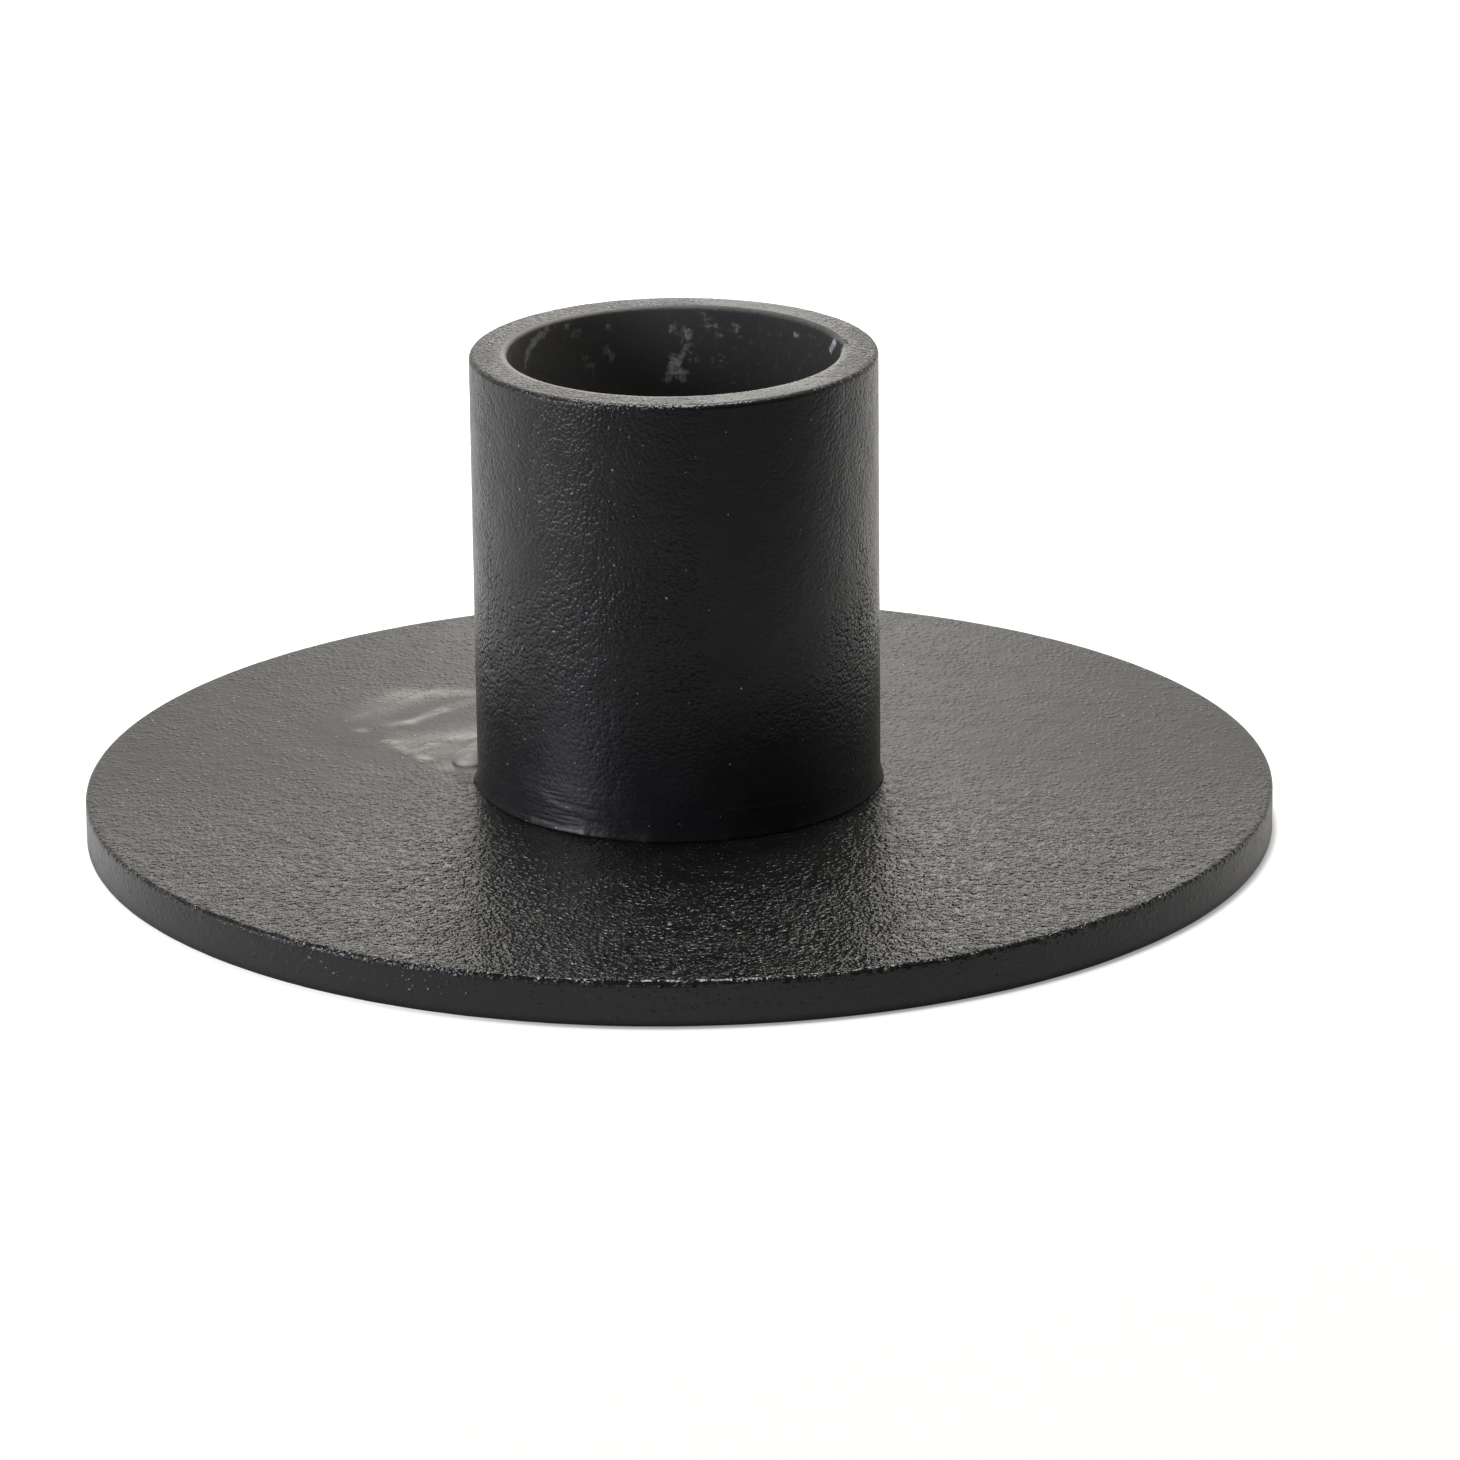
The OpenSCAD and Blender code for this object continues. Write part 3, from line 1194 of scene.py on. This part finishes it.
@dataclass
class SeamWeld:
    """The weld that fills the bevel at the tube's foot and stands a little proud of the wall."""

    tube: float
    foot: float
    depth: float = 1.3 * MM
    height: float = 2.2 * MM
    proud: float = 0.25 * MM
    flare: float = 0.55 * MM
    groove: float = 0.02 * MM
    groove_reach: float = 0.12 * MM
    steps: int = 18
    flush_share: float = 0.25
    # The direction of each knot, its half width in degrees and its strength
    knots: tuple[tuple[float, float, float], ...] = ((181, 5, 1.1), (-1, 7, 0.75))
    small_knots: int = 30
    small_widths: tuple[float, float] = (1.0, 2.6)
    small_strengths: tuple[float, float] = (0.05, 0.45)
    seed: int = 11
    turns: int = 440
    coat: Coat = field(default_factory=lambda: TubeCoat("weld coat"))

    def build(self) -> bpy.types.Object:
        """Turn the bead and dress it.

        Returns:
            The bead's object.
        """
        root = self.tube - self.depth
        outline = Profile(root, self.foot)
        outline.line(self.tube + self.proud - self.groove, self.foot, step=0.4 * MM, tight=True)
        for share in [*(i / self.steps for i in range(1, self.steps)), 0.99, 1.0]:
            lift = self.height * share
            swell = math.exp(-((lift / self.flare) ** 2)) * (1 - share)
            pinch = self.groove * math.exp(-((lift / self.groove_reach) ** 2))
            outline.points.append((self.tube + self.proud * swell - pinch, self.foot + lift))
        outline.line(root, self.foot, step=0.4 * MM, tight=True)
        piece = turned("weld", outline.points[:-1], self.turns)
        self.knot(piece.data)
        wall = {"Wall Radius": 0.0, "Wall Top": 1.0}
        CoatRelief().shape(piece, {"Material": self.coat.material(), **wall})
        return finished(piece, "seam_weld")

    def knot(self, mesh: bpy.types.Mesh) -> None:
        """Press the bead nearly flush with the tube, apart from its knots.

        Args:
            mesh: The bead's mesh.
        """
        places = coordinates(mesh)
        reach = np.hypot(places[:, 0], places[:, 1])
        turn = np.degrees(np.arctan2(places[:, 1], places[:, 0]))
        rng = np.random.default_rng(self.seed)
        ranges = ((0, 360), self.small_widths, self.small_strengths)
        small = [tuple(rng.uniform(*limits) for limits in ranges) for _ in range(self.small_knots)]
        share = np.full(len(reach), self.flush_share)
        for middle, width, strength in (*self.knots, *small):
            off = (turn - middle + 180) % 360 - 180
            share += strength * np.exp(-((off / width) ** 2))
        proud = np.maximum(reach - self.tube, 0)
        places[:, :2] *= ((reach - proud * (1 - share)) / reach)[:, None]
        mesh.vertices.foreach_set("co", places.ravel())


def cut_flat(piece: bpy.types.Object, height: float) -> None:
    """Cut a piece off flat and close it.

    Args:
        piece: The piece.
        height: The height below which it goes.
    """
    work = bmesh.new()
    work.from_mesh(piece.data)
    everything = work.verts[:] + work.edges[:] + work.faces[:]
    plane = {"plane_co": (0, 0, height), "plane_no": (0, 0, 1)}
    bmesh.ops.bisect_plane(work, geom=everything, clear_inner=True, **plane)
    bmesh.ops.holes_fill(work, edges=[edge for edge in work.edges if edge.is_boundary], sides=0)
    bmesh.ops.recalc_face_normals(work, faces=work.faces)
    work.to_mesh(piece.data)
    work.free()
    piece.data.shade_smooth()


@dataclass
class WeldStop:
    """The last ripples of the weld, left standing against the seam."""

    seam: float
    foot: float
    angle: float = 165
    ripples: int = 4
    step: float = 7
    radius: float = 1.5 * MM
    height: float = 0.8 * MM
    first_share: float = 0.7
    stand_share: float = 0.6
    slim_share: float = 0.85
    tall_share: float = 1.05
    sink: float = 0.02 * MM
    # The remesh's grid, in millimetres, and the rounds of smoothing after it
    voxel: float = 0.05
    smoothing: int = 12
    # What counts as bare, which is the lump's painted highlight: the normal's Z below which it begins and
    # the drop to fully bare, and how far round from the front and the right it still reaches
    level_limit: float = 0.9
    level_drop: float = 0.5
    highlight_lead: float = 0.2
    coat: Coat = field(default_factory=lambda: StopCoat("bare weld"))

    def build(self) -> bpy.types.Object:
        """Melt the ripples into one lump and dress it.

        Returns:
            The lump's object.
        """
        work = bmesh.new()
        for i in range(self.ripples):
            size = 1 - (1 - self.first_share) * i / max(1, self.ripples - 1)
            turn = math.radians(self.angle - i * self.step)
            away = self.seam + self.stand_share * size * self.radius
            middle = Vector((away * math.cos(turn), away * math.sin(turn), self.foot)) / MM
            wide = size * self.radius * self.slim_share / MM
            tall = size * self.height * self.tall_share / MM
            shape = Matrix.Translation(middle) @ Matrix.Diagonal((wide, wide, tall, 1))
            bmesh.ops.create_uvsphere(work, u_segments=48, v_segments=24, radius=1.0, matrix=shape)
        mesh = bpy.data.meshes.new("weld-stop")
        work.to_mesh(mesh)
        work.free()
        piece = placed("weld-stop", mesh)
        self.melt(piece)
        cut_flat(piece, self.foot - self.sink)
        self.bare(piece.data)
        piece.data.materials.append(self.coat.material())
        return finished(piece, "weld_stop")

    def melt(self, piece: bpy.types.Object) -> None:
        """Remesh the ripples as one closed shell, smooth it and bring it from millimetres to metres.

        Args:
            piece: The ripples' object, in millimetres.
        """
        merge = piece.modifiers.new("merge", "REMESH")
        merge.mode = "VOXEL"
        merge.voxel_size = self.voxel
        soften = piece.modifiers.new("soften", "SMOOTH")
        soften.factor = 0.5
        soften.iterations = self.smoothing
        keep_result(piece)
        piece.data.transform(Matrix.Scale(MM, 4))

    def bare(self, mesh: bpy.types.Mesh) -> None:
        """Mark as bare, for the lump's painted highlight, what is steep and faces the front or the right.

        Args:
            mesh: The lump's mesh.
        """
        ways = np.empty(len(mesh.vertices) * 3)
        mesh.vertex_normals.foreach_get("vector", ways)
        across, back, up = ways.reshape(-1, 3).T
        steep = np.clip((self.level_limit - up) / self.level_drop, 0, 1)
        keep_mask(mesh, "bare", steep * np.clip(self.highlight_lead + across - back, 0, 1))


class Drops(Shaping):
    """Sets a ball on every point, sunk so far that a flat drop stands out, each with its own size."""

    def __init__(self) -> None:
        """Build the tree."""
        super().__init__("Weld drops", {"Radius": 0.42 * MM, "Height": 0.10 * MM}, seed=1)
        radius, height = self.given["Radius"], self.given["Height"]
        squares = self.math("MULTIPLY_ADD", radius, radius, self.times(height, height))
        ball = self.math("DIVIDE", squares, self.times(height, 2.0))
        named = self.node("GeometryNodeInputNamedAttribute", {"Name": "size"}, data_type="FLOAT")
        size = named.outputs["Attribute"]
        sink = self.times(self.math("SUBTRACT", height, ball), size)
        sunk = {"Geometry": self.given["Geometry"], "Offset": self.along_z(sink)}
        turn = self.node(
            "FunctionNodeRandomValue", {"Max": FULL_TURN, "Seed": self.given["Seed"]}, data_type="FLOAT"
        )
        shape = self.node("GeometryNodeMeshUVSphere", {"Segments": 32, "Rings": 32, "Radius": 1.0})
        inputs = {
            "Points": self.node("GeometryNodeSetPosition", sunk).outputs[0],
            "Instance": shape.outputs["Mesh"],
            "Rotation": self.along_z(turn.outputs[1]),
            "Scale": self.times(ball, size),
        }
        self.close(self.node("GeometryNodeInstanceOnPoints", inputs).outputs[0])

    def along_z(self, value: Socket) -> Socket:
        """Return a vector along the Z axis."""
        return self.node("ShaderNodeCombineXYZ", {"Z": value}).outputs[0]


@dataclass
class WeldSpatter:
    """The drops of spatter on the plate beside the lump."""

    inner: float
    outer: float
    foot: float
    angle: float = 165
    margin: float = 0.55 * MM
    sink: float = 0.02 * MM
    # Each drop's direction from the lump's, its place between the inner and the outer radius, and its size
    drops: tuple[tuple[float, float, float], ...] = (
        (2, 0.06, 0.8),
        (-8, 0.08, 1),
        (-2, 0.12, 0.9),
        (-14, 0.04, 0.6),
        (-7, 0.22, 1),
        (-26, 0.25, 0.7),
        (-35, 0.35, 0.9),
    )
    coat: Coat = field(default_factory=lambda: DropCoat("bare drops"))

    def build(self) -> bpy.types.Object:
        """Set the drops and dress them.

        Returns:
            The drops' object.
        """
        places = []
        inner, outer = self.inner + self.margin, self.outer - self.margin
        for turn, share, _ in self.drops:
            reach, way = inner + share * (outer - inner), math.radians(self.angle + turn)
            places.append((reach * math.cos(way), reach * math.sin(way), self.foot))
        mesh = bpy.data.meshes.new("spatter")
        mesh.from_pydata(places, [], [])
        keep_mask(mesh, "size", [size for _, _, size in self.drops])
        piece = placed("spatter", mesh)
        Drops().shape(piece, {"Material": self.coat.material()})
        cut_flat(piece, self.foot - self.sink)
        return finished(piece, "weld_spatter")


@dataclass
class PhotoCamera:
    """The photograph's camera, fitted to the outlines of the plate and the tube."""

    target: Vector
    lens: float = 186.8
    sensor: float = 36
    distance: float = 527.5 * MM
    elevation: float = 18.350
    roll: float = -0.644
    right: float = 3.568 * MM
    up: float = 3.185 * MM

    def build(self) -> bpy.types.Object:
        """Make the camera and the scene's choice of it.

        Returns:
            The camera's object.
        """
        pitch, roll = math.radians(self.elevation), math.radians(self.roll)
        level = Vector((1, 0, 0))
        rise = Vector((0, math.sin(pitch), math.cos(pitch)))
        ahead = Vector((0, math.cos(pitch), -math.sin(pitch)))
        place = self.target + self.right * level + self.up * rise - self.distance * ahead
        side = math.cos(roll) * level + math.sin(roll) * rise
        top = math.cos(roll) * rise - math.sin(roll) * level
        data = bpy.data.cameras.new("camera")
        data.lens = self.lens
        data.sensor_width = self.sensor
        data.clip_start = 10 * MM
        data.clip_end = 10
        camera = bpy.data.objects.new("camera", data)
        camera.matrix_world = Matrix.Translation(place) @ Matrix((side, top, -ahead)).transposed().to_4x4()
        bpy.context.scene.collection.objects.link(camera)
        bpy.context.scene.camera = camera
        return camera


@dataclass(frozen=True)
class Lamp:
    """A softbox: its name, its place and size in metres, its power in watts and its colour."""

    name: str
    place: tuple[float, float, float]
    size: tuple[float, float]
    power: float
    colour: Colour

    def hang(self) -> None:
        """Hang the softbox so that it faces the object, unseen by the camera."""
        data = bpy.data.lights.new(self.name, "AREA")
        data.shape = "RECTANGLE"
        data.size, data.size_y = self.size
        data.energy = self.power
        data.color = self.colour
        lamp = bpy.data.objects.new(self.name, data)
        lamp.location = self.place
        lamp.visible_camera = False
        lamp.rotation_euler = (-Vector(self.place)).to_track_quat("-Z", "Y").to_euler()
        bpy.context.scene.collection.objects.link(lamp)


@dataclass
class Studio:
    """A pale floor, a white surround that lights from behind, and soft lamps."""

    object_radius: float
    floor_size: float = 6.0
    # The floor's colour behind the object, and before it a darker one, which is painted shade
    floor_colour: Colour = (0.7, 0.7, 0.7)
    painted_shade: Colour = (0.2, 0.2, 0.2)
    # The floor's own light: to the camera, to the camera in the contact shadow, and to mirrors
    seen_level: float = 0.8
    contact_level: float = 0.3
    mirrored_level: float = 0.24
    # Where the floor behind the object begins, and how that leans back on the right
    behind_limits: tuple[float, float] = (-0.10, 0.04)
    behind_lean: float = -0.4
    # The contact shadow: its width, where it begins along its way round, and how that way leans
    contact_width: float = 0.55 * MM
    contact_limits: tuple[float, float] = (14 * MM, 40 * MM)
    contact_lean: float = 0.8
    sky: Colour = (1.0, 0.97, 0.91)
    # The surround's light by direction: the two ends of each change, and the strengths there
    sky_back: tuple[float, float, float, float] = (-0.5, 0.3, 0.04, 1.02)
    sky_up: tuple[float, float, float, float] = (0.15, 0.75, 1.0, 0.4)
    sky_aside: tuple[float, float, float, float] = (0.1, 0.8, 1.0, 0.42)
    lamps: tuple[Lamp, ...] = (
        Lamp("left softbox", (-0.8, -0.4, 0.25), (0.5, 0.5), 4.2, (0.92, 0.93, 1.0)),
        Lamp("overhead softbox", (0.0, 0.2, 0.9), (0.45, 0.45), 7.0, (1.0, 0.97, 0.92)),
        Lamp("rear panel", (0.0, 0.30, 0.12), (0.06, 0.16), 0.03, (1.0, 0.97, 0.92)),
    )

    def build(self) -> None:
        """Make the floor, the surround and the lamps."""
        self.floor()
        self.surround()
        for lamp in self.lamps:
            lamp.hang()
        bpy.context.scene.view_settings.view_transform = "Standard"

    def floor(self) -> None:
        """Lay the floor, which keeps the object's shadow and can't be seen from below."""
        half = self.floor_size / 2
        mesh = bpy.data.meshes.new("floor")
        corners = [(-half, -half, 0.0), (half, -half, 0.0), (half, half, 0.0), (-half, half, 0.0)]
        mesh.from_pydata(corners, [], [(0, 1, 2, 3)])
        floor = placed("floor", mesh)
        paint = Paint("pale floor")
        behind = self.behind(paint)
        # The floor passes from painted shade before the object to pale behind it
        cloth = paint.node("ShaderNodeBsdfDiffuse", {"Color": paint.mix(behind, self.painted_shade, self.floor_colour)})
        lift = paint.node("ShaderNodeEmission", {"Color": WHITE, "Strength": self.lift(paint, behind)})
        both = paint.node("ShaderNodeAddShader", {0: cloth.outputs[0], 1: lift.outputs[0]})
        clear = paint.node("ShaderNodeBsdfTransparent")
        below = paint.node("ShaderNodeNewGeometry").outputs["Backfacing"]
        pick = paint.node("ShaderNodeMixShader", {0: below, 1: both.outputs[0], 2: clear.outputs[0]})
        mesh.materials.append(paint.cover(pick.outputs[0]))

    def behind(self, paint: Paint) -> Socket:
        """Return a mask of the floor behind the object, which leans back on the right.

        Args:
            paint: The floor's tree.

        Returns:
            The mask.
        """
        right = paint.most(paint.part(paint.where, Way.ACROSS), 0.0)
        place = paint.math("MULTIPLY_ADD", right, self.behind_lean, paint.part(paint.where, Way.BACK))
        return paint.spread(place, *self.behind_limits)

    def lift(self, paint: Paint, behind: Socket) -> Socket:
        """Light the floor for the camera, and behind the object for mirrors and glass too.

        Args:
            paint: The floor's tree.
            behind: The mask of the floor behind the object.

        Returns:
            The strength of the floor's own light.
        """
        rays = paint.node("ShaderNodeLightPath").outputs
        level = paint.between(self.contact(paint), self.seen_level, self.contact_level)
        mirrored = paint.most(rays["Is Glossy Ray"], rays["Is Transmission Ray"])
        mirrored = paint.times(mirrored, behind, self.mirrored_level)
        return paint.math("MULTIPLY_ADD", rays["Is Camera Ray"], level, mirrored)

    def contact(self, paint: Paint) -> Socket:
        """Return a mask of the shadow that touches the plate, from its front round to its right.

        Args:
            paint: The floor's tree.

        Returns:
            The mask.
        """
        near = paint.ramp(Way.OUT, self.object_radius, self.object_radius + self.contact_width, 1.0, 0.0)
        across = paint.times(paint.part(paint.where, Way.ACROSS), self.contact_lean)
        side = paint.math("SUBTRACT", across, paint.part(paint.where, Way.BACK))
        return paint.times(near, paint.spread(side, *self.contact_limits))

    def surround(self) -> None:
        """Make the world: white to the camera, and bright behind the object and dim before it to the rest."""
        world = bpy.data.worlds.new("surround")
        bpy.context.scene.world = world
        world.use_nodes = True
        graph = Graph(world.node_tree)
        rays = graph.node("ShaderNodeLightPath").outputs
        seen = graph.most(rays["Is Camera Ray"], rays["Is Transmission Ray"])
        way = graph.node("ShaderNodeTexCoord").outputs["Generated"]
        level = graph.times(
            graph.spread(graph.part(way, Way.BACK), *self.sky_back),
            graph.spread(graph.part(way, Way.UP), *self.sky_up),
            graph.spread(graph.math("ABSOLUTE", graph.part(way, Way.ACROSS)), *self.sky_aside),
        )
        inputs = {
            "Color": graph.mix(seen, self.sky, WHITE),
            "Strength": graph.mix(seen, level, 1.0, Mixed.NUMBER),
        }
        light = graph.node("ShaderNodeBackground", inputs)
        graph.node("ShaderNodeOutputWorld", {"Surface": light.outputs[0]})


def main() -> None:
    """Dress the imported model, piece by piece, and set it in the studio."""
    logging.basicConfig(level=logging.INFO, format="%(name)s: %(message)s")
    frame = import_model()
    plate_low, plate_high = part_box("base_plate")
    tube_low, tube_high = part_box("socket_tube")
    socket = next(m for m in frame["record"]["mounts"] if m["name"] == "candle_socket")
    bore = socket["dims"]["r_mm"] * MM
    PhotoCamera(target=Vector((0, 0, plate_high.z))).build()
    plate = BasePlate(radius=(plate_high.y - plate_low.y) / 2, thickness=plate_high.z)
    plate.build()
    tube = (tube_high.y - tube_low.y) / 2
    SocketTube(outer=tube, bore=bore, foot=tube_low.z, rim=tube_high.z).build()
    weld = SeamWeld(tube=tube, foot=tube_low.z)
    weld.build()
    stop = WeldStop(seam=tube + weld.proud, foot=tube_low.z)
    stop.build()
    inner = stop.seam + (1 + stop.stand_share) * stop.radius
    WeldSpatter(inner=inner, outer=plate.radius - plate.top_round, foot=tube_low.z).build()
    Studio(object_radius=plate.radius).build()


if __name__ == "__main__":
    main()
